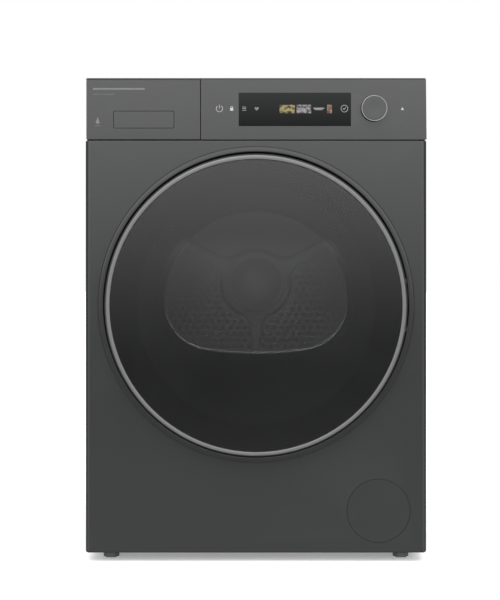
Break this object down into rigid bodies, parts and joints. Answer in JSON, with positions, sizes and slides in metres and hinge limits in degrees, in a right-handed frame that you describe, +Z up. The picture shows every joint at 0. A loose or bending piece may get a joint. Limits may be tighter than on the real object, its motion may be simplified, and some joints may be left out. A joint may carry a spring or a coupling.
{
  "type": "clothes dryer",
  "caption": "Front-loading clothes dryer with a round glass door, water drawer, display, dial, belt-driven drum and heat pump",
  "frame": {"origin": "middle of the bounding box on the floor", "axes": "+X to the right seen from the front, +Y from the front to the back, +Z up"},
  "size_m": [0.6, 0.645, 0.85],
  "materials": {
    "cabinet_paint": "dark grey enamel with a soft sheen",
    "fascia_plastic": "dark grey satin moulding",
    "display_black": "smooth black window",
    "trim_satin": "satin metal",
    "door_plastic": "dark grey moulding",
    "tinted_glass": "tinted, smooth",
    "clear_bowl": "clear moulded bowl",
    "seal_rubber": "black rubber lip",
    "drum_steel": "drawn stainless sheet",
    "lifter_plastic": "light grey moulding",
    "support_plastic": "mid grey moulding",
    "zinc_sheet": "grey coated sheet",
    "tray_plastic": "dark grey moulding",
    "machine_metal": "plain cast and pressed metal",
    "bright_steel": "turned steel",
    "fan_plastic": "pale grey moulding",
    "fin_aluminium": "thin fins",
    "pipe_copper": "drawn copper",
    "tank_plastic": "translucent white moulding",
    "felt": "pressed felt",
    "belt_rubber": "ribbed belt",
    "board_green": "circuit board",
    "black_plastic": "black moulding",
    "filter_plastic": "grey mesh frame",
    "dial_satin": "satin dial"
  },
  "bodies": {
    "root": {"base_tray": "tray_plastic", "left_side_panel": "cabinet_paint", "right_side_panel": "cabinet_paint", "rear_panel": "zinc_sheet", "top_panel": "cabinet_paint", "front_panel": "cabinet_paint", "control_fascia": "fascia_plastic", "display_window": "display_black", "control_board": "board_green", "tank_housing": "support_plastic", "front_bulkhead": "support_plastic", "port_seal": "seal_rubber", "front_drum_seal": "felt", "rear_bulkhead": "zinc_sheet", "rear_drum_seal": "felt", "rear_duct_cover": "zinc_sheet", "shaft_bearing": "bright_steel", "roller_axles": "bright_steel", "motor_housing": "machine_metal", "fan_housing": "fan_plastic", "compressor": "machine_metal", "evaporator": "fin_aluminium", "condenser": "fin_aluminium", "heat_pump_cover": "support_plastic", "refrigerant_pipes": "pipe_copper", "condensate_pump": "black_plastic", "drain_outlet": "black_plastic", "cord_gland": "black_plastic", "panel_screws": "bright_steel", "hinge_bracket": "bright_steel", "latch_keeper": "black_plastic", "moisture_sensor": "bright_steel", "access_frame": "black_plastic", "drive_belt": "belt_rubber"},
    "door": {"door_trim_ring": "trim_satin", "door_glass": "tinted_glass", "door_frame": "door_plastic", "door_bowl": "clear_bowl", "door_hinge_arm": "bright_steel"},
    "latch": {"latch_hook": "black_plastic"},
    "drum": {"drum_shell": "drum_steel", "drum_back": "drum_steel", "drum_lifters": "lifter_plastic", "drum_shaft": "bright_steel"},
    "motor_rotor": {"motor_shaft": "bright_steel", "fan_wheel": "fan_plastic"},
    "idler_arm": {"idler_arm": "bright_steel"},
    "idler_wheel": {"idler_wheel": "black_plastic"},
    "roller_left": {"roller_left": "black_plastic"},
    "roller_right": {"roller_right": "black_plastic"},
    "tank": {"tank_front": "fascia_plastic", "tank_reservoir": "tank_plastic"},
    "tank_flap": {"tank_flap": "fascia_plastic"},
    "lint_filter": {"lint_filter": "filter_plastic"},
    "dial": {"dial_knob": "dial_satin"},
    "access_cover": {"access_cover": "cabinet_paint"},
    "foot_front_left": {"foot_front_left": "black_plastic"},
    "foot_front_right": {"foot_front_right": "black_plastic"},
    "foot_rear_left": {"foot_rear_left": "black_plastic"},
    "foot_rear_right": {"foot_rear_right": "black_plastic"}
  },
  "joints": [
    {"name": "door_hinge", "type": "hinge", "parent": "root", "child": "door", "pos_m": [0.26, -0.306, 0.452], "axis": [0, 0, 1], "range_deg": [0, 95]},
    {"name": "latch_tilt", "type": "hinge", "parent": "door", "child": "latch", "pos_m": [-0.24, -0.286, 0.452], "axis": [1, 0, 0], "range_deg": [0, 10], "stiffness_Nm_per_rad": 0.2},
    {"name": "drum_spin", "type": "hinge", "parent": "root", "child": "drum", "pos_m": [0, 0, 0.452], "axis": [0, 1, 0], "continuous": true},
    {"name": "motor_spin", "type": "hinge", "parent": "root", "child": "motor_rotor", "pos_m": [0.2, 0, 0.12], "axis": [0, 1, 0], "continuous": true},
    {"name": "idler_tilt", "type": "hinge", "parent": "root", "child": "idler_arm", "pos_m": [0.07, -0.044, 0.06], "axis": [0, 1, 0], "range_deg": [0, 10], "stiffness_Nm_per_rad": 2, "springref_deg": -11.46},
    {"name": "idler_spin", "type": "hinge", "parent": "idler_arm", "child": "idler_wheel", "pos_m": [0.11233, -0.056, 0.10819], "axis": [0, 1, 0], "continuous": true},
    {"name": "roller_left_spin", "type": "hinge", "parent": "root", "child": "roller_left", "pos_m": [-0.17976, -0.158, 0.19528], "axis": [0, 1, 0], "continuous": true},
    {"name": "roller_right_spin", "type": "hinge", "parent": "root", "child": "roller_right", "pos_m": [0.17976, -0.158, 0.19528], "axis": [0, 1, 0], "continuous": true},
    {"name": "tank_slide", "type": "slide", "parent": "root", "child": "tank", "axis": [0, -1, 0], "range_m": [0, 0.4]},
    {"name": "flap_tilt", "type": "hinge", "parent": "tank", "child": "tank_flap", "pos_m": [-0.1971, -0.296, 0.7886], "axis": [1, 0, 0], "range_deg": [0, 30], "stiffness_Nm_per_rad": 0.05},
    {"name": "filter_lift", "type": "slide", "parent": "root", "child": "lint_filter", "axis": [0, 0, 1], "range_m": [0, 0.14]},
    {"name": "dial_spin", "type": "hinge", "parent": "root", "child": "dial", "pos_m": [0.207, -0.305, 0.7965], "axis": [0, 1, 0], "continuous": true},
    {"name": "cover_fold", "type": "hinge", "parent": "root", "child": "access_cover", "pos_m": [0.2153, -0.2954, 0.03], "axis": [1, 0, 0], "range_deg": [0, 80]},
    {"name": "foot_front_left_screw", "type": "slide", "parent": "root", "child": "foot_front_left", "axis": [0, 0, -1], "range_m": [0, 0.012]},
    {"name": "foot_front_right_screw", "type": "slide", "parent": "root", "child": "foot_front_right", "axis": [0, 0, -1], "range_m": [0, 0.012]},
    {"name": "foot_rear_left_screw", "type": "slide", "parent": "root", "child": "foot_rear_left", "axis": [0, 0, -1], "range_m": [0, 0.012]},
    {"name": "foot_rear_right_screw", "type": "slide", "parent": "root", "child": "foot_rear_right", "axis": [0, 0, -1], "range_m": [0, 0.012]}
  ],
  "couplings": [
    {"joint": "motor_spin", "follows": "drum_spin", "ratio": 27.5},
    {"joint": "roller_left_spin", "follows": "drum_spin", "ratio": -9.4333},
    {"joint": "roller_right_spin", "follows": "drum_spin", "ratio": -9.4333},
    {"joint": "idler_spin", "follows": "drum_spin", "ratio": -13.3}
  ]
}
